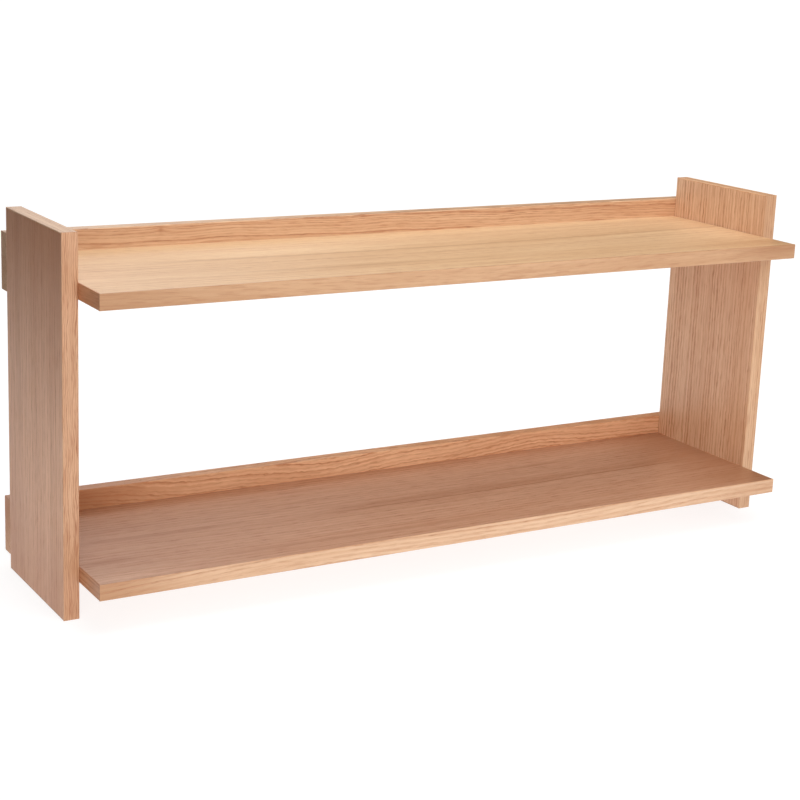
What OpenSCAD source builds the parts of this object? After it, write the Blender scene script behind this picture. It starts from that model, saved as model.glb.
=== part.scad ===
// Two-tier oak wall shelf: two upright side panels, two shelf boards that
// reach out past the panels, and two solid rails that back the shelves and
// carry the whole unit on the wall.
//
// Axes: +X runs along the shelves, +Y points at the wall, +Z is up.
// Origin: middle of the length and of the depth, at the bottom of the panels.
// All sizes are in millimetres.

/* [Overall size] */
// Length over the two side panels
overall_w = 800; // [640:10:1200]
// Height of the side panels
panel_h = 350; // [330:1:500]
// Depth of the side panels, front edge to the rail
panel_depth = 148; // [130:1:220]

/* [Boards] */
// Thickness of the panels and the shelves
board_t = 15; // [14:0.5:20]
// How far the shelves reach out in front of the panels
shelf_overhang = 50; // [20:1:80]
// Clear height under the lower shelf
clear_below = 34; // [28:1:56]
// Clear height between the two shelves
clear_between = 242; // [180:1:260]

/* [Rails] */
// Thickness of the rails
rail_t = 15; // [15:0.5:22]
// How far a rail stands up above its shelf
rail_rise = 20; // [18:1:26]
// How far a rail hangs down below its shelf
rail_drop = 20; // [18:1:26]
// Width of the eased arris along a rail
rail_ease = 0.8; // [0.3:0.1:1.5]

/* [Edge bands] */
// Thickness of the oak edge bands
band_t = 1; // [0.8:0.1:2]
// Radius of a band's eased outer arris
band_ease = 0.6; // [0.2:0.1:0.7]

/* [Dowels] */
// Diameter of the beech dowels
dowel_d = 6; // [5:0.5:8]
// Length of the dowels
dowel_l = 30; // [24:1:34]
// How far a dowel goes into a side panel
dowel_in_panel = 10; // [8:0.5:11]
// Dowels in each shelf end
dowels_per_end = 3; // [2:1:4]

/* [Rail screws] */
// Diameter of the rail screws
screw_d = 4; // [3.5:0.5:4.5]
// Length of the rail screws
screw_l = 40; // [35:1:45]
// Head diameter of the rail screws
screw_head_d = 8; // [7:0.5:9]
// Screws from a rail into the rear edge of its shelf
screws_per_shelf = 5; // [3:1:5]
// Height between the two screws that hold a rail end to its panel
end_screw_gap = 34; // [30:1:38]

/* [Keyhole hangers] */
// Distance from a rail end to its keyhole hanger
hanger_inset = 100; // [90:1:120]
// Width of a hanger plate
plate_w = 16; // [15:0.5:20]
// Height of a hanger plate
plate_h = 46; // [45:0.5:48]
// Thickness of a hanger plate
plate_t = 2; // [1.5:0.1:2.5]
// Diameter of the round hole that lets the wall screw's head in
entry_d = 9; // [8:0.5:10]
// Width of the slot that holds the wall screw's neck
slot_w = 4.6; // [4:0.1:5]
// Rise from the round hole to the top of the slot
slot_rise = 11; // [9:0.5:11]
// Depth of the pocket behind a hanger plate
pocket_depth = 8; // [6:0.5:9]
// Diameter of a hanger's fixing screws
fixing_d = 3; // [2.5:0.5:3.5]
// Length of a hanger's fixing screws
fixing_l = 10; // [8:1:11]

/* [Hidden] */
$fn = 48;

LEFT = -1;
RIGHT = 1;

oak_veneer = [0.80, 0.62, 0.46];
oak_edging = [0.84, 0.65, 0.49];
oak_solid = [0.78, 0.57, 0.40];
beech = [0.86, 0.72, 0.55];
zinc = [0.78, 0.79, 0.80];
bright_steel = [0.70, 0.71, 0.72];

// Stations along Y, from the wall to the front
overall_d = rail_t + panel_depth + shelf_overhang;
wall_y = overall_d / 2;
seat_y = wall_y - rail_t;
panel_front_y = seat_y - panel_depth;
shelf_front_y = panel_front_y - shelf_overhang;
shelf_depth = panel_depth + shelf_overhang;

// Stations along X and Z
inner_w = overall_w - 2 * board_t;
inner_x = inner_w / 2;
panel_mid_x = inner_x + board_t / 2;
lower_shelf_z = clear_below;
upper_shelf_z = clear_below + board_t + clear_between;
rail_h = rail_rise + board_t + rail_drop;

// Glue room round a dowel and round a screw
glue_gap = 0.05;
// Cut-outs start this far outside a face, so that no skin is left
over = 1;

// Dowels: the outer two sit this far from the edges of the panel
dowel_margin = 25;
dowel_chamfer = 0.8;
dowel_pitch = (panel_depth - 2 * dowel_margin) / (dowels_per_end - 1);
dowel_ys = [for (i = [0 : dowels_per_end - 1]) panel_front_y + dowel_margin + i * dowel_pitch];

// Screws along a rail
shelf_screw_margin = 35;
shelf_screw_pitch = (inner_w - 2 * shelf_screw_margin) / (screws_per_shelf - 1);
shelf_screw_xs = [
    for (i = [0 : screws_per_shelf - 1]) -inner_x + shelf_screw_margin + i * shelf_screw_pitch
];
shelf_screw_places = [for (x = shelf_screw_xs) [x, 0]];
end_screw_places = [
    for (side = [LEFT, RIGHT]) for (up = [-1, 1]) [side * panel_mid_x, up * end_screw_gap / 2]
];
rail_screw_places = concat(shelf_screw_places, end_screw_places);
screw_sink = 0.3;
screw_tip = 5;
head_rim = 0.4;
bore_room = 0.5;

// Keyhole hangers, measured from the middle of the rail's length and height
hanger_x = overall_w / 2 - hanger_inset;
entry_z = -4;
pocket_w = 12;
pocket_h = 24;
pocket_z = 1.5;
plate_room = 0.1;
plate_screw_z = 18;
fixing_head_d = 5.6;
fixing_tip = 2;

// Steps round an eased arris
arris_steps = 4;

// Outline of an edge band seen on its end: x is the width, y is the thickness.
// The two outer corners are rounded.
function band_outline(width) = concat(
    [[-width / 2, 0], [width / 2, 0]],
    arris([width / 2 - band_ease, band_t - band_ease], 0),
    arris([-width / 2 + band_ease, band_t - band_ease], 90)
);

// Points of a quarter circle of radius band_ease round a centre
function arris(centre, start) = [
    for (i = [0 : arris_steps])
        let (a = start + 90 * i / arris_steps)
            [centre[0] + band_ease * cos(a), centre[1] + band_ease * sin(a)]
];

// A band lying along +Z from z = 0, its back on y = 0, its face towards +Y
module band_strip(width, length) {
    linear_extrude(length) polygon(band_outline(width));
}

// A slot with round ends, standing along the second axis
module obround(width, height) {
    square([width, height - width], center = true);
    for (end = [-1, 1]) translate([0, end * (height - width) / 2]) circle(d = width);
}

// Turns a shape that is drawn along +Z so that it runs into the rail, along -Y
module facing_wall() {
    rotate([90, 0, 0]) children();
}

// ---- Panels ----

// Core of a side panel, without its edge bands
module panel_core(side) {
    difference() {
        translate([side * panel_mid_x - board_t / 2, panel_front_y + band_t, band_t])
            cube([board_t, panel_depth - 2 * band_t, panel_h - 2 * band_t]);
        for (z = [lower_shelf_z, upper_shelf_z]) dowel_holes(side, z);
        for (z = [lower_shelf_z, upper_shelf_z]) screw_threads(z);
    }
}

// Bands on the vertical edges run the full height of the panel
module upright_band(side, y, out) {
    difference() {
        translate([side * panel_mid_x, y, 0])
            rotate([0, 0, out > 0 ? 0 : 180])
                band_strip(board_t, panel_h);
        for (z = [lower_shelf_z, upper_shelf_z]) screw_threads(z);
    }
}

module panel_front_band(side) {
    upright_band(side, panel_front_y + band_t, -1);
}

module panel_rear_band(side) {
    upright_band(side, seat_y - band_t, 1);
}

// Bands on the top and the bottom fit between the upright bands
module panel_cap_band(side, z, up) {
    translate([side * panel_mid_x, up > 0 ? seat_y - band_t : panel_front_y + band_t, z])
        rotate([up > 0 ? 90 : -90, 0, 0])
            band_strip(board_t, panel_depth - 2 * band_t);
}

module left_panel() {
    color(oak_veneer) panel_core(LEFT);
}

module right_panel() {
    color(oak_veneer) panel_core(RIGHT);
}

module left_panel_front_band() {
    color(oak_edging) panel_front_band(LEFT);
}

module left_panel_rear_band() {
    color(oak_edging) panel_rear_band(LEFT);
}

module left_panel_top_band() {
    color(oak_edging) panel_cap_band(LEFT, panel_h - band_t, 1);
}

module left_panel_bottom_band() {
    color(oak_edging) panel_cap_band(LEFT, band_t, -1);
}

module right_panel_front_band() {
    color(oak_edging) panel_front_band(RIGHT);
}

module right_panel_rear_band() {
    color(oak_edging) panel_rear_band(RIGHT);
}

module right_panel_top_band() {
    color(oak_edging) panel_cap_band(RIGHT, panel_h - band_t, 1);
}

module right_panel_bottom_band() {
    color(oak_edging) panel_cap_band(RIGHT, band_t, -1);
}

// ---- Shelves ----

// Core of a shelf whose underside is at z
module shelf_core(z) {
    difference() {
        translate([-inner_x + band_t, shelf_front_y + band_t, z])
            cube([inner_w - 2 * band_t, shelf_depth - band_t, board_t]);
        for (side = [LEFT, RIGHT]) dowel_holes(side, z);
        screw_threads(z);
    }
}

module shelf_front_band(z) {
    translate([-inner_x, shelf_front_y + band_t, z + board_t / 2])
        rotate([0, 90, 0])
            rotate([0, 0, 180])
                band_strip(board_t, inner_w);
}

// The end bands are bored through for the dowels
module shelf_end_band(side, z) {
    difference() {
        translate([side * (inner_x - band_t), shelf_front_y + band_t, z + board_t / 2])
            rotate([-90, 0, 0])
                rotate([0, 0, side > 0 ? -90 : 90])
                    band_strip(board_t, shelf_depth - band_t);
        dowel_holes(side, z);
    }
}

module upper_shelf() {
    color(oak_veneer) shelf_core(upper_shelf_z);
}

module lower_shelf() {
    color(oak_veneer) shelf_core(lower_shelf_z);
}

module upper_shelf_front_band() {
    color(oak_edging) shelf_front_band(upper_shelf_z);
}

module upper_shelf_left_band() {
    color(oak_edging) shelf_end_band(LEFT, upper_shelf_z);
}

module upper_shelf_right_band() {
    color(oak_edging) shelf_end_band(RIGHT, upper_shelf_z);
}

module lower_shelf_front_band() {
    color(oak_edging) shelf_front_band(lower_shelf_z);
}

module lower_shelf_left_band() {
    color(oak_edging) shelf_end_band(LEFT, lower_shelf_z);
}

module lower_shelf_right_band() {
    color(oak_edging) shelf_end_band(RIGHT, lower_shelf_z);
}

// ---- Dowels ----

// Places one child at each dowel of a shelf end, its axis along X from the
// blind end in the panel towards the middle of the shelf
module at_dowels(side, z) {
    for (y = dowel_ys)
        translate([side * (inner_x + dowel_in_panel), y, z + board_t / 2])
            rotate([0, side > 0 ? -90 : 90, 0])
                children();
}

module dowel_holes(side, z) {
    at_dowels(side, z) cylinder(d = dowel_d + 2 * glue_gap, h = dowel_l + 1);
}

module dowel() {
    r = dowel_d / 2;
    rotate_extrude()
        polygon([
            [0, 0.2], [r - dowel_chamfer, 0.2], [r, 0.2 + dowel_chamfer],
            [r, dowel_l - dowel_chamfer], [r - dowel_chamfer, dowel_l], [0, dowel_l]
        ]);
}

module upper_left_dowels() {
    color(beech) at_dowels(LEFT, upper_shelf_z) dowel();
}

module upper_right_dowels() {
    color(beech) at_dowels(RIGHT, upper_shelf_z) dowel();
}

module lower_left_dowels() {
    color(beech) at_dowels(LEFT, lower_shelf_z) dowel();
}

module lower_right_dowels() {
    color(beech) at_dowels(RIGHT, lower_shelf_z) dowel();
}

// ---- Rails ----

// Cross-section of a rail: x is the thickness, y is the height
function rail_outline() =
    let (t = rail_t / 2, h = rail_h / 2, e = rail_ease)
        [
            [-t + e, -h], [t - e, -h], [t, -h + e], [t, h - e],
            [t - e, h], [-t + e, h], [-t, h - e], [-t, -h + e]
        ];

// Plain rail behind a shelf whose underside is at z, drilled for its screws
module drilled_rail(z) {
    difference() {
        translate([-overall_w / 2, wall_y - rail_t / 2, z + board_t / 2])
            rotate([90, 0, 90])
                linear_extrude(overall_w)
                    polygon(rail_outline());
        at_rail_screws(z) screw_bore();
    }
}

module upper_rail() {
    color(oak_solid)
        difference() {
            drilled_rail(upper_shelf_z);
            for (side = [LEFT, RIGHT]) at_hanger(side) hanger_recess();
        }
}

module lower_rail() {
    color(oak_solid) drilled_rail(lower_shelf_z);
}

// ---- Rail screws ----

// Places one child at each screw of a rail, on the wall face, its axis
// running into the rail
module at_rail_screws(z) {
    for (place = rail_screw_places)
        translate([place[0], wall_y, z + board_t / 2 + place[1]])
            facing_wall()
                children();
}

// Clearance bore with a countersink, wide enough for the whole head
module screw_bore() {
    head_r = screw_head_d / 2 + glue_gap;
    neck_r = (screw_d + bore_room) / 2;
    cone_h = head_r - neck_r;
    translate([0, 0, -over]) cylinder(r = neck_r, h = rail_t + 2 * over);
    translate([0, 0, -over]) cylinder(r = head_r, h = over + screw_sink + head_rim);
    translate([0, 0, screw_sink + head_rim]) cylinder(r1 = head_r, r2 = neck_r, h = cone_h);
}

// Holes that the screws cut in the panels, the shelves and the rear bands
module screw_threads(z) {
    at_rail_screws(z) cylinder(d = screw_d + 2 * glue_gap, h = screw_l + screw_sink + 1);
}

// Countersunk wood screw, its head at z = 0 and its point towards +Z
module wood_screw(d, length, head_d, tip) {
    r = d / 2;
    head_r = head_d / 2;
    cone_h = head_r - r;
    recess = head_d * 0.55;
    difference() {
        rotate_extrude()
            polygon([
                [0, 0], [head_r, 0], [head_r, head_rim], [r, head_rim + cone_h],
                [r, length - tip], [0, length]
            ]);
        for (turn = [0, 90])
            rotate([0, 0, turn])
                cube([recess, recess / 4, recess * 0.8], center = true);
    }
}

module rail_screws(z) {
    at_rail_screws(z)
        translate([0, 0, screw_sink])
            wood_screw(screw_d, screw_l, screw_head_d, screw_tip);
}

module upper_rail_screws() {
    color(zinc) rail_screws(upper_shelf_z);
}

module lower_rail_screws() {
    color(zinc) rail_screws(lower_shelf_z);
}

// ---- Keyhole hangers ----

// Places a hanger on the wall face of the upper rail: the child's second
// axis is up and its +Z runs into the rail
module at_hanger(side) {
    translate([side * hanger_x, wall_y, upper_shelf_z + board_t / 2])
        facing_wall()
            children();
}

// Seat for the plate, pocket for the wall screw's head, and screw holes
module hanger_recess() {
    translate([0, 0, -over])
        linear_extrude(over + plate_t)
            obround(plate_w + 2 * plate_room, plate_h + 2 * plate_room);
    translate([0, pocket_z, 0])
        linear_extrude(plate_t + pocket_depth)
            obround(pocket_w, pocket_h);
    for (up = [-1, 1])
        translate([0, up * plate_screw_z, 0])
            cylinder(d = fixing_d + 2 * glue_gap, h = fixing_l + 1);
}

// Steel plate with a keyhole and two countersunk screw holes
module keyhole_plate() {
    difference() {
        linear_extrude(plate_t)
            difference() {
                obround(plate_w, plate_h);
                translate([0, entry_z]) circle(d = entry_d);
                translate([0, entry_z + slot_rise / 2]) square([slot_w, slot_rise], center = true);
                translate([0, entry_z + slot_rise]) circle(d = slot_w);
            }
        for (up = [-1, 1]) translate([0, up * plate_screw_z, 0]) plate_screw_hole();
    }
}

module plate_screw_hole() {
    head_r = fixing_head_d / 2 + glue_gap;
    neck_r = fixing_d / 2 + glue_gap;
    translate([0, 0, -over]) cylinder(r = neck_r, h = plate_t + 2 * over);
    translate([0, 0, -over]) cylinder(r = head_r, h = over + head_rim);
    translate([0, 0, head_rim]) cylinder(r1 = head_r, r2 = neck_r, h = head_r - neck_r);
}

module plate_screws() {
    for (up = [-1, 1])
        translate([0, up * plate_screw_z, 0])
            wood_screw(fixing_d, fixing_l, fixing_head_d, fixing_tip);
}

module left_keyhole_plate() {
    color(bright_steel) at_hanger(LEFT) keyhole_plate();
}

module right_keyhole_plate() {
    color(bright_steel) at_hanger(RIGHT) keyhole_plate();
}

module left_plate_screws() {
    color(zinc) at_hanger(LEFT) plate_screws();
}

module right_plate_screws() {
    color(zinc) at_hanger(RIGHT) plate_screws();
}

left_panel();
right_panel();
upper_shelf();
lower_shelf();
upper_rail();
lower_rail();
left_panel_front_band();
left_panel_rear_band();
left_panel_top_band();
left_panel_bottom_band();
right_panel_front_band();
right_panel_rear_band();
right_panel_top_band();
right_panel_bottom_band();
upper_shelf_front_band();
upper_shelf_left_band();
upper_shelf_right_band();
lower_shelf_front_band();
lower_shelf_left_band();
lower_shelf_right_band();
upper_left_dowels();
upper_right_dowels();
lower_left_dowels();
lower_right_dowels();
upper_rail_screws();
lower_rail_screws();
left_keyhole_plate();
right_keyhole_plate();
left_plate_screws();
right_plate_screws();
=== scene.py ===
import math
import random
from dataclasses import dataclass, replace
from typing import NamedTuple

import bmesh
import bpy
from mathutils import Matrix, Vector


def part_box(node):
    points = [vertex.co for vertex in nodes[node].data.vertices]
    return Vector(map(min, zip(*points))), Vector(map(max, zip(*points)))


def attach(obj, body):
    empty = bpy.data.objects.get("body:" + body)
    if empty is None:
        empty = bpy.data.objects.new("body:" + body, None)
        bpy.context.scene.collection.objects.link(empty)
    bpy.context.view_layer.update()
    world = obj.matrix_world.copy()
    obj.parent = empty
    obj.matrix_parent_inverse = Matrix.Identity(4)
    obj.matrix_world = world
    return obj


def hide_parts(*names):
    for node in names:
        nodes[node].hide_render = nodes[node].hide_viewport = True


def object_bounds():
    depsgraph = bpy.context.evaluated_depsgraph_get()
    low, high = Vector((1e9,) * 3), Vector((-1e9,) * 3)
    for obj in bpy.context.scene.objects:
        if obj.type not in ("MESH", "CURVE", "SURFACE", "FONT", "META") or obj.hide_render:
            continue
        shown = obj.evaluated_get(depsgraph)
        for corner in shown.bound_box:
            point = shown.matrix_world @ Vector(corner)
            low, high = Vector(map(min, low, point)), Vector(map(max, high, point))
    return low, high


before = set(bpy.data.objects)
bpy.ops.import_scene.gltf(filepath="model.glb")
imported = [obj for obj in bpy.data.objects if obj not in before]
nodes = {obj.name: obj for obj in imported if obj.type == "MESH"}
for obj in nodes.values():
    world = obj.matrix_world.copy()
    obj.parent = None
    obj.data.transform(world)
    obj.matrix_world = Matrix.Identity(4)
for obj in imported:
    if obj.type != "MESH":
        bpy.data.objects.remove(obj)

MM = 0.001
cad_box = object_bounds()


# ---- Camera ----

CAMERA_PLACE = Vector((-0.8954, -1.4420, 0.5985))
CAMERA_TURN = math.radians(30.28)
CAMERA_TILT = math.radians(13.48)
CAMERA_ROLL = math.radians(2.13)
# Lens and sensor in millimetres, and the shift as shares of the picture's width
CAMERA_LENS = 78.14
CAMERA_SENSOR = 36
CAMERA_SHIFT = (0.0277, -0.0528)


def make_camera():
    """A camera to the left of the shelf and above it, turned towards the wall."""
    data = bpy.data.cameras.new("camera")
    data.sensor_width = CAMERA_SENSOR
    data.lens = CAMERA_LENS
    data.shift_x, data.shift_y = CAMERA_SHIFT
    camera = bpy.data.objects.new("camera", data)
    turn = Matrix.Rotation(-CAMERA_TURN, 4, "Z")
    tilt = Matrix.Rotation(math.pi / 2 - CAMERA_TILT, 4, "X")
    roll = Matrix.Rotation(CAMERA_ROLL, 4, "Z")
    camera.matrix_world = Matrix.Translation(CAMERA_PLACE) @ turn @ tilt @ roll
    bpy.context.scene.collection.objects.link(camera)
    bpy.context.scene.camera = camera


# ---- Node graphs ----

# Where the Mix node keeps its share, its two colours and its mixed colour
MIX_SHARE, MIX_A, MIX_B, MIX_RESULT = 0, 6, 7, 2


class Graph:
    """The nodes of one material, or of the world, added one after another."""

    def __init__(self, owner):
        owner.use_nodes = True
        self.owner = owner
        self.nodes = owner.node_tree.nodes
        self.links = owner.node_tree.links

    def feed(self, socket, value):
        """Links an output to a socket, or sets the socket to a number or a colour."""
        if isinstance(value, bpy.types.NodeSocket):
            self.links.new(value, socket)
        else:
            socket.default_value = value

    def add(self, kind, inputs=None, **settings):
        """A new node of a kind. inputs says what feeds its sockets."""
        made = self.nodes.new("ShaderNode" + kind)
        for name, value in settings.items():
            setattr(made, name, value)
        for name, value in (inputs or {}).items():
            self.feed(made.inputs[name], value)
        return made

    def surface(self, **sockets):
        """Sets sockets of the material's own shader. Base_Color means Base Color."""
        shader = self.nodes["Principled BSDF"]
        for name, value in sockets.items():
            self.feed(shader.inputs[name.replace("_", " ")], value)

    def math(self, operation, a, b=0.0, c=0.0):
        return self.add("Math", {0: a, 1: b, 2: c}, operation=operation).outputs[0]

    def total(self, start, *parts):
        """start plus each part, where a part is a value and the number it is times."""
        for value, times in parts:
            start = self.math("MULTIPLY_ADD", value, times, start)
        return start

    def product(self, first, *others):
        for other in others:
            first = self.math("MULTIPLY", first, other)
        return first

    def vector(self, operation, a, b):
        made = self.add("VectorMath", {0: a, 1: b}, operation=operation)
        return made.outputs["Value" if operation == "DOT_PRODUCT" else "Vector"]

    def split(self, vector):
        return self.add("SeparateXYZ", {"Vector": vector}).outputs[:]

    def join(self, x, y=0.0, z=0.0):
        return self.add("CombineXYZ", {"X": x, "Y": y, "Z": z}).outputs[0]

    def step(self, value, low, high, start=0.0, end=1.0):
        """A smooth step from start, where value is low, to end, where it is high."""
        sockets = {"Value": value, "From Min": low, "From Max": high, "To Min": start, "To Max": end}
        return self.add("MapRange", sockets, interpolation_type="SMOOTHSTEP").outputs[0]

    def noise(self, place, waves, detail=2.0, roughness=0.5):
        """Noise from 0 to 1, with so many waves in a metre along each of the three axes."""
        stretched = self.vector("MULTIPLY", place, waves)
        sockets = {"Vector": stretched, "Scale": 1.0, "Detail": detail, "Roughness": roughness}
        return self.add("TexNoise", sockets).outputs[0]

    def bump(self, height, strength, relief):
        """A normal bent by the height. A height of 1 stands for so many metres of relief."""
        sockets = {"Strength": strength, "Distance": relief, "Height": height}
        return self.add("Bump", sockets).outputs[0]

    def blend(self, share, a, b, mode="MIX"):
        """Colour a, turned into b by a share, or changed by b in another mode."""
        made = self.add("Mix", data_type="RGBA", blend_type=mode)
        for index, value in ((MIX_SHARE, share), (MIX_A, a), (MIX_B, b)):
            self.feed(made.inputs[index], value)
        return made.outputs[MIX_RESULT]


def colour(red, green, blue):
    """A linear colour from an sRGB colour, each channel from 0 to 255."""
    def linear(value):
        share = value / 255
        return share / 12.92 if share <= 0.04045 else ((share + 0.055) / 1.055) ** 2.4
    return (linear(red), linear(green), linear(blue), 1.0)


def tinted(base, tint):
    """A linear colour with each channel multiplied by the tint's."""
    return tuple(channel * times for channel, times in zip(base[:3], tint)) + (1.0,)


# ---- Light and floor ----

WHITE = (1.0, 1.0, 1.0, 1.0)
BLACK = (0.02, 0.02, 0.02, 1.0)

# The floor is a grey square with a glow of its own. The backdrop is a round wall as wide as it
FLOOR_SIZE = 60.0
FLOOR_GREY = (0.30, 0.30, 0.30, 1.0)
FLOOR_GLOW = 0.83
BACKDROP_SIDES = 64

# The flag: its place along X, its near and far ends along Y, and its height
FLAG = (-0.87, -0.5, 3.0, 2.2)

# Where a soft light of the room comes from, how far round there it reaches, in degrees, and
# its strength
ROOM_LIGHTS = (
    ((-0.7, -0.7, 0.3), 35, 1.66),
    ((0.0, -1.0, 0.3), 45, 1.14),
    ((0.0, 0.0, 1.0), 50, 1.32),
    ((-0.1, 1.0, 0.15), 35, 1.10),
)

# Name, place, width, height and power of each softbox
SOFTBOXES = (
    ("behind", (0.0, 1.2, 1.2), 1.2, 0.6, 5.4),
    ("above", (-0.15, -0.35, 1.0), 0.5, 0.5, 2.2),
)


def make_stage_piece(name, corners, shade, glow=0.0):
    """A flat, matt four-cornered piece that isn't part of the object."""
    mesh = bpy.data.meshes.new(name)
    mesh.from_pydata(corners, [], [(0, 1, 2, 3)])
    piece = bpy.data.objects.new(name, mesh)
    bpy.context.scene.collection.objects.link(piece)
    graph = Graph(bpy.data.materials.new(name))
    graph.surface(Base_Color=shade, Roughness=0.9, Specular_IOR_Level=0.0,
                  Emission_Color=WHITE, Emission_Strength=glow)
    mesh.materials.append(graph.owner)
    return piece


def make_floor():
    """A wide pale floor. Its own glow keeps it near white, so its shadows stay faint."""
    half = FLOOR_SIZE / 2
    corners = [(-half, -half, 0), (half, -half, 0), (half, half, 0), (-half, half, 0)]
    make_stage_piece("floor", corners, FLOOR_GREY, FLOOR_GLOW)


def make_flag():
    """A dark card that stands to the left and keeps light off the left panel."""
    x, near, far, height = FLAG
    corners = [(x, near, 0), (x, far, 0), (x, far, height), (x, near, height)]
    make_stage_piece("flag", corners, BLACK).visible_camera = False


def make_backdrop():
    """A plain white wall all round, which only the camera sees."""
    bm = bmesh.new()
    bmesh.ops.create_cone(bm, cap_ends=False, segments=BACKDROP_SIDES, depth=FLOOR_SIZE,
                          radius1=FLOOR_SIZE / 2, radius2=FLOOR_SIZE / 2)
    mesh = bpy.data.meshes.new("backdrop")
    bm.to_mesh(mesh)
    bm.free()
    backdrop = bpy.data.objects.new("backdrop", mesh)
    bpy.context.scene.collection.objects.link(backdrop)
    graph = Graph(bpy.data.materials.new("backdrop"))
    graph.surface(Base_Color=BLACK, Emission_Color=WHITE, Emission_Strength=1.0)
    mesh.materials.append(graph.owner)
    backdrop.visible_diffuse = False
    backdrop.visible_glossy = False
    backdrop.visible_shadow = False


def make_softbox(name, place, width, height, power):
    """A rectangular light that is aimed at the middle of the object."""
    data = bpy.data.lights.new(name, "AREA")
    data.shape = "RECTANGLE"
    data.size, data.size_y = width, height
    data.energy = power
    light = bpy.data.objects.new(name, data)
    light.location = place
    aim = (cad_box[0] + cad_box[1]) / 2 - Vector(place)
    light.rotation_euler = aim.to_track_quat("-Z", "Y").to_euler()
    bpy.context.scene.collection.objects.link(light)


def make_room():
    """The world: a dark room with a few large soft lights."""
    world = bpy.data.worlds.new("room")
    bpy.context.scene.world = world
    graph = Graph(world)
    direction = graph.add("TexCoord").outputs["Generated"]
    strength = 0.0
    for towards, reach, power in ROOM_LIGHTS:
        facing = graph.vector("DOT_PRODUCT", direction, tuple(Vector(towards).normalized()))
        edge, core = math.cos(math.radians(reach)), math.cos(math.radians(reach / 2))
        strength = graph.math("ADD", strength, graph.step(facing, edge, core, 0.0, power))
    background = graph.nodes["Background"]
    graph.feed(background.inputs["Color"], WHITE)
    graph.feed(background.inputs["Strength"], strength)


def make_studio():
    make_room()
    make_floor()
    make_flag()
    make_backdrop()
    for softbox in SOFTBOXES:
        make_softbox(*softbox)
    bpy.context.scene.view_settings.view_transform = "Standard"


# ---- Oak ----

AXES = "XYZ"


class Swing(NamedTuple):
    """A wave that the grain runs in. start is its angle, in radians, at the frame's origin."""
    height: float
    length: float
    start: float


class Knot(NamedTuple):
    """A small knot that pushes the grain aside."""
    along: float
    across: float
    half_length: float
    half_width: float
    push: float


class Streak(NamedTuple):
    """A line from start to end along the grain: darker, or paler if its depth is below 0."""
    across: float
    half_width: float
    depth: float
    start: float
    end: float


class Wash(NamedTuple):
    """A soft oval patch: darker, or paler if its depth is below 0."""
    along: float
    across: float
    half_length: float
    half_width: float
    depth: float


@dataclass
class Figure:
    """How one piece of oak looks. Lengths are in metres, places from the frame's origin."""
    # Screen colours of the palest and the darkest bands, and what both are multiplied by
    light: tuple = colour(226, 188, 150)
    dark: tuple = colour(203, 156, 116)
    tint: tuple = (1.0, 1.0, 1.0)
    # Year rings: their width, how dark a ring's first wood is, and where the log's middle
    # lies, measured across the piece and through it
    ring_gap: float = 0.003
    ring_depth: float = 0.3
    pith: tuple = (0.5, 0.1)
    # How dark the pores and the rays are, and how far the tone changes from band to band
    pore_depth: float = 0.7
    ray_depth: float = 0.4
    tone_depth: float = 0.8
    # How the grain drifts across the piece: evenly, and at random over some 10 and some 1 cm
    lean: float = 0.0
    wander: float = 0.0018
    ripple: float = 0.0005
    # What the colour is multiplied by on the face further along the face axis. Where the tint holds
    # painted shade for the near face, this takes that painted shade back out on the far face
    far_side_unshade: tuple = (1.0, 1.0, 1.0)
    # Single features of this piece: marks in the wood, and on some pieces painted shade and painted
    # highlights
    swings: tuple = ()
    knots: tuple = ()
    streaks: tuple = ()
    washes: tuple = ()


# Noise waves in a metre: along the grain, across it and through the piece
WANDER_WAVES = (8.0, 30.0, 30.0)
RIPPLE_WAVES = (110.0, 280.0, 280.0)
PORE_WAVES = (75.0, 2300.0, 2300.0)
RAY_WAVES = (48.0, 620.0, 620.0)
PATCH_WAVES = (30.0, 30.0, 30.0)
SMUDGE_WAVES = (14.0, 14.0, 14.0)

# Broad, narrow and fine bands of tone: their noise waves, the noise's detail, the levels
# between which a band comes up, and its share of the tone
TONE_BANDS = (
    ((0.8, 10.0, 10.0), 1.0, (0.35, 0.65), 0.28),
    ((2.5, 60.0, 60.0), 2.0, (0.35, 0.65), 0.27),
    ((9.0, 300.0, 300.0), 2.0, (0.3, 0.7), 0.45),
)

# How far a piece can be moved along each axis of the noise
NOISE_SPREAD = 20

# Year rings: how many rings the count can stray by, in how many noise waves to a ring, at
# which shares of a year its first wood has come, begins to go and has gone, and how strong
# the weakest ring is
RING_STRAY = 2.2
STRAY_WAVES = 0.4
FIRST_WOOD = (0.14, 0.18, 0.7)
WEAKEST_RING = 0.3

# The levels of the noise between which a pore and a ray come up, and those of the normal
# along the grain between which a face becomes end grain
PORE_STEP = (0.53, 0.62)
RAY_STEP = (0.5, 0.72)
END_GRAIN_STEP = (0.5, 0.9)

# How strong pores and rays are outside the first wood, and what they gain inside it
PORE_CROWD = (0.2, 0.8)
RAY_CROWD = (0.5, 0.7)

# Roughness before anything changes it, and what bands, pores, rubbed edges, end grain and
# smudges add to it
OAK_ROUGHNESS = 0.30
OAK_ROUGHER = (0.04, 0.2, -0.06, 0.2, 0.08)

# What pores, first wood and rays add to the height, and how the bump shows it
OAK_HIGHER = (-1.0, -0.3, -0.2)
OAK_BUMP = 0.6
OAK_RELIEF = 0.08 * MM

# How long a streak takes to begin and to end
STREAK_FADE = 0.08

# How far from an edge handling shows, between which levels of the noise it does, and how
# dark handled edges and end grain are
RUBBED_WIDTH = 1.2 * MM
RUBBED_STEP = (0.4, 0.65)
RUBBED_DEPTH = 0.25
END_GRAIN_DEPTH = 0.3
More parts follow.
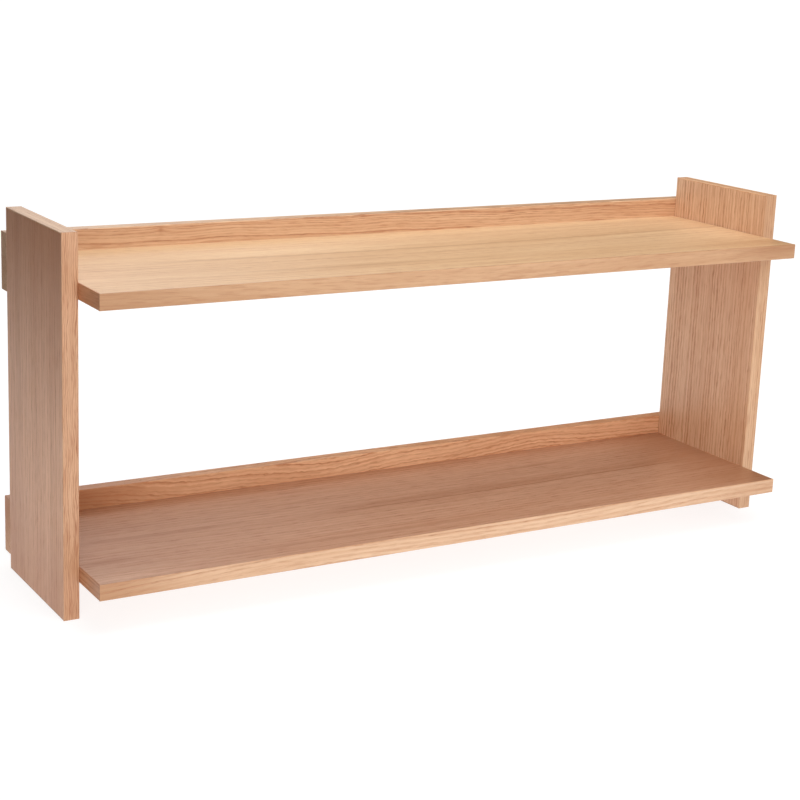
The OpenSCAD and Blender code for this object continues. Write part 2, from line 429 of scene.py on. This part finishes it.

# What a tone is multiplied by, red, green and blue, where the wood is marked. MARK_SHADE and
# PALE_SHADE also colour the painted shade and painted highlights of some pieces
MARK_SHADE = (0.70, 0.56, 0.42)
PALE_SHADE = (1.12, 1.15, 1.16)
RING_SHADE = (0.76, 0.51, 0.37)
RAY_SHADE = (0.72, 0.52, 0.40)
PORE_SHADE = (0.53, 0.36, 0.26)
RUBBED_SHADE = (0.80, 0.70, 0.60)
END_GRAIN_SHADE = (0.62, 0.52, 0.46)


def soft_spot(graph, along, across, spot):
    """1 in the middle of a soft oval patch, falling to 0 round it."""
    u = graph.math("MULTIPLY_ADD", along, 1 / spot.half_length, -spot.along / spot.half_length)
    v = graph.math("MULTIPLY_ADD", across, 1 / spot.half_width, -spot.across / spot.half_width)
    squared = graph.total(graph.product(u, u), (graph.product(v, v), 1.0))
    return graph.math("EXPONENT", graph.math("MULTIPLY", squared, -1.0))


def bent_grain(graph, along, across, place, figure):
    """The place across the piece, measured from the wandering line of the grain."""
    stray = graph.math("SUBTRACT", graph.noise(place, WANDER_WAVES, detail=1.0), 0.5)
    ripple = graph.math("SUBTRACT", graph.noise(place, RIPPLE_WAVES, detail=1.0), 0.5)
    bent = graph.total(across, (along, -figure.lean), (stray, 2 * figure.wander),
                       (ripple, 2 * figure.ripple))
    for swing in figure.swings:
        turn = graph.math("MULTIPLY_ADD", along, math.tau / swing.length, swing.start)
        bent = graph.total(bent, (graph.math("SINE", turn), -swing.height))
    for knot in figure.knots:
        bent = graph.total(bent, (soft_spot(graph, along, across, knot), -knot.push))
    return bent


def growth_rings(graph, bent, through, figure):
    """How early in its year the wood grew: 1 just after a ring begins, 0 where it ends."""
    aside = graph.math("SUBTRACT", bent, figure.pith[0])
    deep = graph.math("SUBTRACT", through, figure.pith[1])
    squared = graph.total(graph.product(aside, aside), (graph.product(deep, deep), 1.0))
    radius = graph.math("SQRT", squared)
    uneven = graph.noise(graph.join(radius), (STRAY_WAVES / figure.ring_gap, 1.0, 1.0))
    count = graph.total(graph.math("DIVIDE", radius, figure.ring_gap), (uneven, RING_STRAY))
    phase = graph.math("FRACT", count)
    come, going, gone = FIRST_WOOD
    rise, fall = graph.step(phase, 0.0, come), graph.step(phase, going, gone, 1.0, 0.0)
    own = graph.add("TexWhiteNoise", {"W": graph.math("FLOOR", count)}, noise_dimensions="1D")
    strength = graph.math("MULTIPLY_ADD", own.outputs["Value"], 1 - WEAKEST_RING, WEAKEST_RING)
    return graph.product(rise, fall, strength)


def pore_marks(graph, place, early):
    """Short dark streaks along the grain, crowded where a ring begins."""
    grit = graph.noise(place, PORE_WAVES, roughness=0.6)
    outside, gain = PORE_CROWD
    crowd = graph.math("MULTIPLY_ADD", early, gain, outside)
    return graph.product(graph.step(grit, *PORE_STEP), crowd)


def ray_marks(graph, place, early):
    """The ends of the rays: thin darker dashes a centimetre or two long."""
    grit = graph.noise(place, RAY_WAVES, detail=1.0)
    outside, gain = RAY_CROWD
    crowd = graph.math("MULTIPLY_ADD", early, gain, outside)
    return graph.product(graph.step(grit, *RAY_STEP), crowd)


def tone_bands(graph, place):
    """The bands of tone along the grain, as one number from 0 to 1."""
    tone = 0.0
    for waves, detail, levels, share in TONE_BANDS:
        band = graph.step(graph.noise(place, waves, detail), *levels)
        tone = graph.total(tone, (band, share))
    return tone


def single_marks(graph, along, across, bent, figure):
    """The single lines and soft patches of a piece: above 0 darker, below 0 paler. Some are painted
    shade and painted highlights.
    """
    marks_and_painted_light = 0.0
    for streak in figure.streaks:
        away = graph.math("ABSOLUTE", graph.math("SUBTRACT", bent, streak.across))
        line = graph.step(away, 0.0, streak.half_width, streak.depth, 0.0)
        begun = graph.step(along, streak.start, streak.start + STREAK_FADE)
        ended = graph.step(along, streak.end - STREAK_FADE, streak.end)
        length = graph.total(begun, (ended, -1.0))
        marks_and_painted_light = graph.total(marks_and_painted_light, (graph.product(line, length), 1.0))
    for wash in figure.washes:
        marks_and_painted_light = graph.total(marks_and_painted_light, (soft_spot(graph, along, across, wash), wash.depth))
    return marks_and_painted_light


def rubbed_edges(graph, across, place, span):
    """Where handling has smoothed and darkened the long edges of a piece."""
    low, high = span
    near = graph.math("MINIMUM", graph.math("SUBTRACT", across, low),
                      graph.math("SUBTRACT", high, across))
    patchy = graph.step(graph.noise(place, PATCH_WAVES), *RUBBED_STEP)
    return graph.product(graph.step(near, 0.0, RUBBED_WIDTH, 1.0, 0.0), patchy)


def oak_colour(graph, figure, tone, marks_and_painted_light, layers):
    """The colour of the wood: its bands, then its single marks with painted shade and highlights
    among them, then each layer over them.
    """
    light, dark = tinted(figure.light, figure.tint), tinted(figure.dark, figure.tint)
    base = graph.blend(graph.math("MULTIPLY", tone, figure.tone_depth), light, dark)
    base = graph.blend(marks_and_painted_light, base, tinted(dark, MARK_SHADE))
    base = graph.blend(graph.math("MULTIPLY", marks_and_painted_light, -1.0), base, tinted(light, PALE_SHADE))
    for amount, depth, shade in layers:
        base = graph.blend(graph.math("MULTIPLY", amount, depth), base, tinted(dark, shade))
    return base


def oak(name, grain, face, seed, figure, span):
    """Oak whose grain runs along one axis and whose wide face looks along another.

    span is the box of the piece. The seed says where in the noise the piece lies.
    """
    graph = Graph(bpy.data.materials.new(name))
    point = graph.split(graph.add("TexCoord").outputs["Object"])
    across_axis = next(axis for axis in AXES if axis not in (grain, face))
    order = [AXES.index(axis) for axis in (grain, across_axis, face)]
    along, across, through = (point[axis] for axis in order)
    normal = graph.split(graph.add("NewGeometry").outputs["Normal"])[order[0]]
    draw = random.Random(seed)
    apart = tuple(draw.uniform(-NOISE_SPREAD, NOISE_SPREAD) for _ in range(3))
    place = graph.vector("ADD", graph.join(along, across, through), apart)

    bent = bent_grain(graph, along, across, place, figure)
    flow = graph.vector("ADD", graph.join(along, bent, through), apart)
    early = growth_rings(graph, bent, through, figure)
    pores = pore_marks(graph, flow, early)
    rays = ray_marks(graph, flow, early)
    tone = tone_bands(graph, flow)
    marks_and_painted_light = single_marks(graph, along, across, bent, figure)
    rubbed = rubbed_edges(graph, across, place, (span[0][order[1]], span[1][order[1]]))
    cut_across = graph.step(graph.math("ABSOLUTE", normal), *END_GRAIN_STEP)
    smudge = graph.noise(place, SMUDGE_WAVES, detail=3.0)

    layers = ((early, figure.ring_depth, RING_SHADE),
              (rays, figure.ray_depth, RAY_SHADE),
              (pores, figure.pore_depth, PORE_SHADE),
              (rubbed, RUBBED_DEPTH, RUBBED_SHADE),
              (cut_across, END_GRAIN_DEPTH, END_GRAIN_SHADE))
    base = oak_colour(graph, figure, tone, marks_and_painted_light, layers)
    # Painted shade: the near face keeps the tint's painted shade, and the far face has it taken back
    # out
    middle = (span[0][order[2]] + span[1][order[2]]) / 2
    far_side = graph.step(through, middle - MM, middle + MM)
    base = graph.blend(far_side, base, (*figure.far_side_unshade, 1.0), mode="MULTIPLY")
    rough = graph.total(OAK_ROUGHNESS,
                        *zip((tone, pores, rubbed, cut_across, smudge), OAK_ROUGHER))
    height = graph.total(0.0, *zip((pores, early, rays), OAK_HIGHER))
    bumped = graph.bump(height, OAK_BUMP, OAK_RELIEF)
    graph.surface(Base_Color=base, Roughness=rough, Normal=bumped)
    return graph.owner


def dress(node, material):
    """Gives a CAD node one material all over."""
    mesh = nodes[node].data
    mesh.materials.clear()
    mesh.materials.append(material)


VENEER = Figure(ring_gap=0.0062, ring_depth=0.22, pore_depth=0.65, pith=(0.6, 0.1))
BAND = Figure(ring_gap=0.0023, ring_depth=0.45, ray_depth=0.6, pith=(0.3, 0.02))
SOLID = Figure(light=colour(228, 186, 146), dark=colour(203, 150, 110), ring_gap=0.0020,
               ring_depth=0.7, ray_depth=0.5, pith=(0.7, -0.3))
# Painted shade: the panels' lower bands are darker than the others, as if in shade
SHADED_FOOT_BAND = replace(BAND, tint=(0.62, 0.50, 0.44))

# Grain axis, face axis and figure of each board
BOARDS = {
    # The left panel's tint is partly painted shade: the warm, dark colour of its shaded outer face
    "left_panel": ("Z", "X", replace(
        VENEER, tint=(1.11, 0.895, 0.78), ring_gap=0.0032, ring_depth=0.55, ray_depth=0.6,
        tone_depth=0.9, ripple=0.0008, far_side_unshade=(0.94, 1.12, 1.24),
        streaks=(
            Streak(0.059, 0.014, 0.22, 0.10, 0.45),
            Streak(-0.046, 0.018, 0.20, 0.16, 0.45)),
        washes=(
            # Painted shade: the first four washes darken the panel towards its top and towards its
            # bottom
            Wash(0.37, 0.02, 0.11, 0.30, 0.64),
            Wash(-0.01, 0.02, 0.08, 0.30, 0.35),
            Wash(0.05, 0.09, 0.08, 0.06, 0.30),
            Wash(0.03, -0.04, 0.06, 0.035, 0.28),
            Wash(0.12, 0.0, 0.07, 0.07, -0.25)))),
    "right_panel": ("Z", "X", replace(
        VENEER, tint=(1.08, 1.09, 1.17), ring_gap=0.0040, ring_depth=0.58, ray_depth=0.6,
        ripple=0.0012, wander=0.0025,
        streaks=(
            Streak(0.085, 0.05, -0.30, -0.10, 0.45),),
        washes=(
            # Painted light: the panel is paler towards its top, as if lit from above
            Wash(0.33, 0.0, 0.04, 0.30, -0.20),))),
    "upper_shelf": ("X", "Z", replace(
        VENEER, tint=(1.19, 1.25, 1.22), ring_depth=0.14,
        swings=(
            Swing(0.011, 1.4, -1.436),),
        streaks=(
            Streak(0.0125, 0.0035, 0.70, -0.32, 0.48),
            Streak(0.0225, 0.013, 0.08, -0.05, 0.45),
            Streak(0.071, 0.018, 0.10, -0.04, 0.35),
            # Painted light: a paler strip along the rear, against the shade under the rail
            Streak(0.0885, 0.03, -0.60, -0.50, 0.50),
            Streak(-0.052, 0.003, 0.30, -0.28, 0.10)),
        washes=(
            Wash(-0.105, -0.064, 0.10, 0.009, 0.35),
            Wash(0.36, -0.085, 0.08, 0.025, 0.55),
            Wash(-0.15, 0.03, 0.10, 0.02, -0.40)))),
    "lower_shelf": ("X", "Z", replace(
        VENEER, tint=(0.885, 0.83, 0.93), ring_depth=0.2, ray_depth=0.7, pore_depth=0.7,
        tone_depth=0.9, ripple=0.0007,
        swings=(
            Swing(0.006, 1.3, -1.7),),
        streaks=(
            Streak(-0.0095, 0.0022, 0.85, -0.15, 0.36),
            Streak(-0.001, 0.011, 0.35, -0.14, 0.36),
            Streak(0.045, 0.006, 0.30, 0.08, 0.25),
            Streak(-0.078, 0.006, 0.35, -0.28, 0.06),
            Streak(0.024, 0.003, 0.35, -0.37, -0.22),
            Streak(-0.004, 0.008, 0.35, -0.40, -0.17)),
        washes=(
            # Painted shade: the first two washes darken the shelf at its ends, next to the panels
            Wash(0.38, 0.0, 0.09, 0.30, 0.75),
            Wash(-0.40, 0.0, 0.15, 0.30, 0.35),
            Wash(0.32, -0.075, 0.08, 0.012, 0.20),
            Wash(-0.36, -0.055, 0.03, 0.006, 0.40),
            # Painted highlight: a pale glare along the front at the left corner
            Wash(-0.36, -0.098, 0.06, 0.012, -0.80)))),
}

RAILS = {
    "upper_rail": replace(
        SOLID, tint=(0.98, 1.0, 1.04), ring_depth=0.5, lean=-0.012,
        swings=(
            Swing(0.0008, 0.21, 0.0),
            Swing(0.0004, 0.09, 1.0)),
        knots=(
            Knot(-0.247, 0.321, 0.010, 0.006, 0.0018),),
        washes=(
            Wash(-0.247, 0.321, 0.0025, 0.0025, 0.60),
            # Painted highlight: a pale line along the rail's top edge
            Wash(0.0, 0.326, 2.0, 0.0008, -0.90))),
    "lower_rail": replace(
        SOLID, tint=(1.22, 1.21, 1.24), ring_gap=0.0034, ring_depth=0.8, ripple=0.0015,
        wander=0.0035,
        swings=(
            Swing(0.007, 0.62, -0.751),
            Swing(0.0015, 0.17, 0.6)),
        washes=(
            Wash(-0.37, 0.06, 0.11, 0.03, 0.90),
            Wash(0.03, 0.06, 0.10, 0.03, -0.50))),
}

BANDS = {
    "left_panel_front_band": replace(
        BAND, tint=(0.96, 0.865, 0.86), ring_gap=0.0019, ring_depth=0.6, ray_depth=0.9,
        ripple=0.0009,
        swings=(
            Swing(0.0007, 0.07, 0.4),
            Swing(0.001, 0.3, 1.0)),
        washes=(
            Wash(0.02, -0.392, 0.05, 0.02, 0.30),)),
    "left_panel_bottom_band": SHADED_FOOT_BAND,
    "right_panel_front_band": replace(
        BAND, tint=(0.97, 0.93, 0.92), ring_depth=0.3,
        washes=(
            Wash(0.28, 0.392, 0.02, 0.02, 0.30),
            Wash(0.34, 0.392, 0.05, 0.02, 0.30))),
    # Painted light: the top band is made paler than the others, as if lit more
    "right_panel_top_band": replace(BAND, tint=(1.3, 1.3, 1.3)),
    "right_panel_bottom_band": SHADED_FOOT_BAND,
    "upper_shelf_front_band": replace(
        BAND, tint=(0.86, 0.78, 0.725), ring_gap=0.0040, ring_depth=0.5, ripple=0.0004,
        lean=-0.003,
        swings=(
            Swing(0.0045, 0.9, -1.327),),
        streaks=(
            Streak(0.3045, 0.0015, 0.70, 0.33, 0.50),),
        washes=(
            Wash(-0.37, 0.298, 0.07, 0.03, 0.30),
            Wash(0.37, 0.302, 0.05, 0.012, 0.55))),
    "upper_shelf_left_band": replace(BAND, tint=(0.94, 0.68, 0.56)),
    "lower_shelf_front_band": replace(
        BAND, tint=(1.09, 1.12, 1.21), ring_gap=0.0046, ring_depth=0.4, ray_depth=0.4,
        lean=0.012, ripple=0.0004,
        swings=(
            Swing(0.003, 0.52, 3.8),),
        washes=(
            Wash(-0.38, 0.041, 0.06, 0.02, 0.70),
            Wash(0.38, 0.041, 0.08, 0.02, 0.30))),
    "lower_shelf_left_band": replace(BAND, tint=(0.80, 0.59, 0.50)),
}

# Edge, grain axis and face axis of each band of a panel and of a shelf
PANEL_BANDS = (("front", "Z", "Y"), ("rear", "Z", "Y"), ("top", "Y", "Z"), ("bottom", "Y", "Z"))
SHELF_BANDS = (("front", "X", "Y"), ("left", "Y", "X"), ("right", "Y", "X"))

# The seed of the first board, band and rail. The others of its kind follow on
BOARD_SEED, BAND_SEED, RAIL_SEED = 11, 31, 51


def dress_in_oak(node, grain, face, seed, figure):
    """Gives a CAD node an oak of its own."""
    dress(node, oak(node + "_oak", grain, face, seed, figure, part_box(node)))


def dress_boards():
    for seed, (node, (grain, face, figure)) in enumerate(BOARDS.items(), BOARD_SEED):
        dress_in_oak(node, grain, face, seed, figure)


def dress_rails():
    for seed, (node, figure) in enumerate(RAILS.items(), RAIL_SEED):
        dress_in_oak(node, "X", "Y", seed, figure)


def dress_bands():
    places = [(f"{side}_panel_{edge}_band", grain, face)
              for side in ("left", "right") for edge, grain, face in PANEL_BANDS]
    places += [(f"{level}_shelf_{edge}_band", grain, face)
               for level in ("upper", "lower") for edge, grain, face in SHELF_BANDS]
    for seed, (node, grain, face) in enumerate(places, BAND_SEED):
        dress_in_oak(node, grain, face, seed, BANDS.get(node, BAND))


# ---- Other materials ----

# Beech: the noise waves of its tone and of its flecks, the levels of the noise between which
# a fleck comes up, and how dark a fleck is
BEECH_WAVES = (30.0, 900.0, 900.0)
FLECK_WAVES = (420.0, 3200.0, 3200.0)
FLECK_STEP = (0.60, 0.72)
FLECK_DEPTH = 0.7

# Its colours, its roughness and what the tone adds to that, and what tone and flecks add to
# the height
BEECH_LIGHT = colour(232, 200, 164)
BEECH_DARK = colour(205, 162, 122)
FLECK_BROWN = colour(140, 92, 60)
BEECH_ROUGHNESS = 0.55
BEECH_ROUGHER = 0.15
BEECH_HIGHER = (0.6, -0.5)
BEECH_BUMP = 0.5
BEECH_RELIEF = 0.05 * MM

# Metal: the noise waves of its plating, scratches and dull spots, and the levels of the noise
# between which a scratch and a spot come up
PLATING_WAVES = (260.0, 260.0, 260.0)
SCRATCH_WAVES = (900.0, 900.0, 60.0)
SPOT_WAVES = (1500.0, 1500.0, 1500.0)
SCRATCH_STEP = (0.64, 0.68)
SPOT_STEP = (0.66, 0.74)

# How dark lines and spots are, and what the dull colour is multiplied by there
LINE_DEPTH = 0.35
LINE_SHADE = (0.85, 0.85, 0.85)
SPOT_DEPTH = 0.6
SPOT_SHADE = (0.45, 0.43, 0.40)

# What plating, lines, scratches and spots add to the roughness, and what lines, scratches and
# spots add to the height
METAL_ROUGHER = (0.15, 0.08, 0.10, 0.25)
METAL_HIGHER = (0.5, -0.6, -0.4)
METAL_BUMP = 0.4
METAL_RELIEF = 0.02 * MM


def beech(name):
    """Pale, even wood along X with short brown flecks."""
    graph = Graph(bpy.data.materials.new(name))
    place = graph.add("TexCoord").outputs["Object"]
    tone = graph.noise(place, BEECH_WAVES, detail=3.0)
    flecks = graph.step(graph.noise(place, FLECK_WAVES, detail=1.0), *FLECK_STEP)
    base = graph.blend(tone, BEECH_LIGHT, BEECH_DARK)
    base = graph.blend(graph.math("MULTIPLY", flecks, FLECK_DEPTH), base, FLECK_BROWN)
    height = graph.total(0.0, *zip((tone, flecks), BEECH_HIGHER))
    normal = graph.bump(height, BEECH_BUMP, BEECH_RELIEF)
    rough = graph.total(BEECH_ROUGHNESS, (tone, BEECH_ROUGHER))
    graph.surface(Base_Color=base, Roughness=rough, Normal=normal)
    return graph.owner


def plated_steel(name, bright, dull, line_waves, roughness):
    """Metal plate or wire: rolling lines, uneven plating, fine scratches and dull spots."""
    graph = Graph(bpy.data.materials.new(name))
    place = graph.add("TexCoord").outputs["Object"]
    lines = graph.noise(place, line_waves, detail=3.0, roughness=0.6)
    plating = graph.noise(place, PLATING_WAVES, detail=3.0, roughness=0.6)
    scratches = graph.step(graph.noise(place, SCRATCH_WAVES, detail=1.0), *SCRATCH_STEP)
    spots = graph.step(graph.noise(place, SPOT_WAVES, detail=1.0), *SPOT_STEP)
    base = graph.blend(plating, bright, dull)
    for amount, depth, shade in ((lines, LINE_DEPTH, LINE_SHADE), (spots, SPOT_DEPTH, SPOT_SHADE)):
        base = graph.blend(graph.math("MULTIPLY", amount, depth), base, tinted(dull, shade))
    rough = graph.total(roughness, *zip((plating, lines, scratches, spots), METAL_ROUGHER))
    height = graph.total(0.0, *zip((lines, scratches, spots), METAL_HIGHER))
    normal = graph.bump(height, METAL_BUMP, METAL_RELIEF)
    graph.surface(Base_Color=base, Metallic=1.0, Roughness=rough, Normal=normal)
    return graph.owner


# ---- Screws, dowels and hangers ----

# Vertices nearer to each other than this are one
WELD = 0.001 * MM

# Screws: points round one, the rim of its head and the easing of that rim
ROUND = 32
HEAD_RIM = 0.4 * MM
HEAD_EASE = 0.12 * MM

# The cross recess: its wings, and its sizes as shares of the head's radius. Its floor is a
# share of its mouth's size
WINGS = 4
WING_REACH = 0.55
WING_HALF_WIDTH = 0.12
RECESS_DEPTH = 0.42
RECESS_FLOOR = 0.35

# The thread: its pitch and depth as shares of the shank's radius, its start as a share of the
# screw's length, how steep its flanks are, the rows of points in a turn, and how near the
# screw's end it stops
THREAD_PITCH = 0.9
THREAD_DEPTH = 0.3
THREAD_START = 0.36
FLANK_STEEPNESS = 2.2
THREAD_STEPS = 8
THREAD_STOP = 0.05 * MM

# Dowels: their flutes, and the share of the radius at each distance in from an end
FLUTES = 20
POINTS_IN_FLUTE = 4
FLUTE_DEPTH = 0.18 * MM
DOWEL_ENDS = ((0.0, 0.75), (0.25 * MM, 0.92), (0.8 * MM, 1.0))

# The seed of the first node of screws, which the others follow, and how far a screw may be
# turned, in radians
SCREW_SEED = 71
MOST_TURN = 3.0

# A CAD node of screws, the radius of their shanks, and the length of their tips
SCREWS = (
    ("upper_rail_screws", 2.0 * MM, 5.0 * MM),
    ("lower_rail_screws", 2.0 * MM, 5.0 * MM),
    ("left_plate_screws", 1.5 * MM, 2.0 * MM),
    ("right_plate_screws", 1.5 * MM, 2.0 * MM),
)

# Keyhole plates: how round their edges are, the keyhole's round entry, with its height from
# the middle of the plate, the slot that rises from it, and the gap round a screw's head
STAMPED_EDGE = 0.2 * MM
ENTRY_Z = -4 * MM
ENTRY_RADIUS = 4.5 * MM
SLOT_RISE = 11 * MM
SLOT_HALF_WIDTH = 2.3 * MM
SCREW_HOLE_GAP = 0.1 * MM

# Steps over a rounded edge, round a half circle, and round a hole
STAMPED_EDGE_STEPS = 2
ARC_STEPS = 24
HOLE_STEPS = 40


def solids(node):
    """The boxes of the separate solids in a CAD node."""
    bm = bmesh.new()
    bm.from_mesh(nodes[node].data)
    bmesh.ops.remove_doubles(bm, verts=bm.verts, dist=WELD)
    waiting = set(bm.verts)
    boxes = []
    while waiting:
        reached, places = [waiting.pop()], []
        while reached:
            vert = reached.pop()
            places.append(vert.co.copy())
            near = {edge.other_vert(vert) for edge in vert.link_edges} & waiting
            waiting -= near
            reached += near
        low, high = (Vector(map(pick, *places)) for pick in (min, max))
        boxes.append((low, high))
    bm.free()
    return sorted(boxes, key=lambda box: tuple(box[0]))


def add_skin(bm, rings):
    """A closed skin over rings that all have the same number of points."""
    rows = [[bm.verts.new(point) for point in ring] for ring in rings]
    for row, following in zip(rows, rows[1:]):
        for index in range(len(row)):
            back = index - 1
            bm.faces.new((row[back], row[index], following[index], following[back]))
    bm.faces.new(rows[0])
    bm.faces.new(reversed(rows[-1]))


def ring(stand, depth, radius_at, count):
    """Points round the axis of stand, depth along it. radius_at takes a turn from 0 to 1."""
    turns = [index / count for index in range(count)]
    return [stand @ Vector((radius_at(turn) * math.cos(math.tau * turn),
                            radius_at(turn) * math.sin(math.tau * turn), depth))
            for turn in turns]


def standing(origin, axis):
    """A frame at origin whose third axis points along axis."""
    return Matrix.Translation(origin) @ Vector(axis).to_track_quat("Z", "Y").to_matrix().to_4x4()


def finish_piece(name, bm, node, material, crease=25):
    """A piece that stands for a CAD node, smooth where it bends by less than crease degrees."""
    bmesh.ops.recalc_face_normals(bm, faces=bm.faces)
    mesh = bpy.data.meshes.new(name)
    bm.to_mesh(mesh)
    bm.free()
    mesh.materials.append(material)
    mesh.shade_smooth()
    mesh.set_sharp_from_angle(angle=math.radians(crease))
    piece = bpy.data.objects.new(name, mesh)
    bpy.context.scene.collection.objects.link(piece)
    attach(piece, "root")
    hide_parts(node)


def add_screw(bm, stand, shank, head, length, tip):
    """A countersunk wood screw with a cross recess: its head face is at the stand's origin."""
    pitch = THREAD_PITCH * shank
    thread_start = THREAD_START * length

    def recess(size):
        wing, half_width = WING_REACH * head * size, WING_HALF_WIDTH * head * size
        half_gap = 1 / (2 * WINGS)

        def radius(turn):
            from_wing = (turn + half_gap) % (2 * half_gap) - half_gap
            aside = abs(math.sin(math.tau * from_wing))
            return wing if wing * aside < half_width else half_width / aside
        return radius

    def body(depth):
        # The head narrows at 45 degrees, down from its rim to the shank and up to its face
        plain = min(shank, shank * (length - depth) / tip)
        flare = head - max(0.0, depth - HEAD_RIM) - max(0.0, HEAD_EASE - depth)
        begun = min(1.0, max(0.0, (depth - thread_start) / pitch))

        def radius(turn):
            off_crest = 1 - abs(2 * ((depth / pitch + turn) % 1) - 1)
            cut = THREAD_DEPTH * begun * min(1.0, FLANK_STEEPNESS * off_crest)
            return max(flare, plain * (1 - cut))
        return radius

    depths = [0.0, HEAD_EASE, HEAD_RIM, HEAD_RIM + head - shank]
    row_height = pitch / THREAD_STEPS
    rows = int((length - THREAD_STOP - thread_start) / row_height)
    depths += [thread_start + row_height * row for row in range(rows + 1)]
    rings = [ring(stand, RECESS_DEPTH * head, recess(RECESS_FLOOR), ROUND),
             ring(stand, 0.0, recess(1.0), ROUND)]
    rings += [ring(stand, depth, body(depth), ROUND) for depth in depths]
    add_skin(bm, rings)


def make_screws(node, shank, tip, seed):
    """Threaded screws in the place of a CAD node's plain ones, each turned its own way."""
    draw = random.Random(seed)
    bm = bmesh.new()
    for low, high in solids(node):
        head_face = Vector(((low.x + high.x) / 2, high.y, (low.z + high.z) / 2))
        turn = Matrix.Rotation(draw.uniform(0, MOST_TURN), 4, "Z")
        stand = standing(head_face, (0, -1, 0)) @ turn
        add_screw(bm, stand, shank, (high.x - low.x) / 2, high.y - low.y, tip)
    return bm


def make_dowels(node):
    """Fluted dowels with eased ends, in the place of a CAD node's plain ones."""
    def fluted(radius):
        return lambda turn: radius - FLUTE_DEPTH * max(0.0, math.sin(math.tau * turn * FLUTES))

    bm = bmesh.new()
    for low, high in solids(node):
        centre = (low + high) / 2
        radius, length = (high.z - low.z) / 2, high.x - low.x
        stand = standing((low.x, centre.y, centre.z), (1, 0, 0))
        rows = [(inset, radius * share) for inset, share in DOWEL_ENDS]
        rows += [(length - inset, size) for inset, size in reversed(rows)]
        count = FLUTES * POINTS_IN_FLUTE
        add_skin(bm, [ring(stand, depth, fluted(size), count) for depth, size in rows])
    return bm


def make_hardware():
    zinc = plated_steel("zinc_plated", bright=colour(226, 226, 220), dull=colour(176, 180, 184),
                        line_waves=(2600.0, 2600.0, 2600.0), roughness=0.22)
    wood = beech("dowel_beech")
    for seed, (node, shank, tip) in enumerate(SCREWS, SCREW_SEED):
        finish_piece(node + "_threaded", make_screws(node, shank, tip, seed), node, zinc)
    for level in ("upper", "lower"):
        for side in ("left", "right"):
            node = f"{level}_{side}_dowels"
            finish_piece(node + "_fluted", make_dowels(node), node, wood)


def arc(centre, radius, start, end, steps=ARC_STEPS):
    """Points on an arc in a plane, from one angle to another in degrees."""
    angles = [math.radians(start + (end - start) * index / steps) for index in range(steps + 1)]
    return [(centre[0] + radius * math.cos(angle), centre[1] + radius * math.sin(angle))
            for angle in angles]


def obround(width, height):
    """An upright slot with round ends, round the origin."""
    rise = (height - width) / 2
    return arc((0, rise), width / 2, 0, 180) + arc((0, -rise), width / 2, 180, 360)


def keyhole():
    """A round hole with a slot that rises from it."""
    corner = 90 - math.degrees(math.asin(SLOT_HALF_WIDTH / ENTRY_RADIUS))
    return (arc((0, ENTRY_Z), ENTRY_RADIUS, 180 - corner, 360 + corner, HOLE_STEPS)
            + arc((0, ENTRY_Z + SLOT_RISE), SLOT_HALF_WIDTH, 0, 180))


def make_plate(node, screw_node):
    """A stamped keyhole plate: a sheet with rounded edges, a keyhole and two screw holes."""
    low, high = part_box(node)
    centre = (low + high) / 2
    outlines = [obround(high.x - low.x, high.z - low.z), keyhole()]
    for screw_low, screw_high in solids(screw_node):
        head = (screw_high.x - screw_low.x) / 2
        height = (screw_low.z + screw_high.z) / 2 - centre.z
        outlines.append(arc((0, height), head + SCREW_HOLE_GAP, 0, 360, HOLE_STEPS)[:-1])
    curve = bpy.data.curves.new(node, "CURVE")
    curve.dimensions = "2D"
    curve.fill_mode = "BOTH"
    curve.extrude = (high.y - low.y) / 2 - STAMPED_EDGE
    curve.bevel_depth = STAMPED_EDGE
    curve.bevel_resolution = STAMPED_EDGE_STEPS
    curve.offset = -STAMPED_EDGE
    for outline in outlines:
        spline = curve.splines.new("POLY")
        spline.points.add(len(outline) - 1)
        for point, (x, y) in zip(spline.points, outline):
            point.co = (x, y, 0, 1)
        spline.use_cyclic_u = True
    holder = bpy.data.objects.new(node + "_curve", curve)
    bm = bmesh.new()
    bm.from_mesh(holder.to_mesh())
    bmesh.ops.remove_doubles(bm, verts=bm.verts, dist=WELD)
    bpy.data.objects.remove(holder)
    bm.transform(Matrix.Translation(centre) @ Matrix.Rotation(math.pi / 2, 4, "X"))
    return bm


def make_hangers():
    steel = plated_steel("hanger_plate", bright=colour(214, 210, 202), dull=colour(158, 156, 152),
                         line_waves=(3000.0, 3000.0, 60.0), roughness=0.20)
    for side in ("left", "right"):
        node = side + "_keyhole_plate"
        bm = make_plate(node, side + "_plate_screws")
        finish_piece(node + "_stamped", bm, node, steel, crease=10)


make_camera()
make_studio()
dress_boards()
dress_bands()
dress_rails()
make_hardware()
make_hangers()
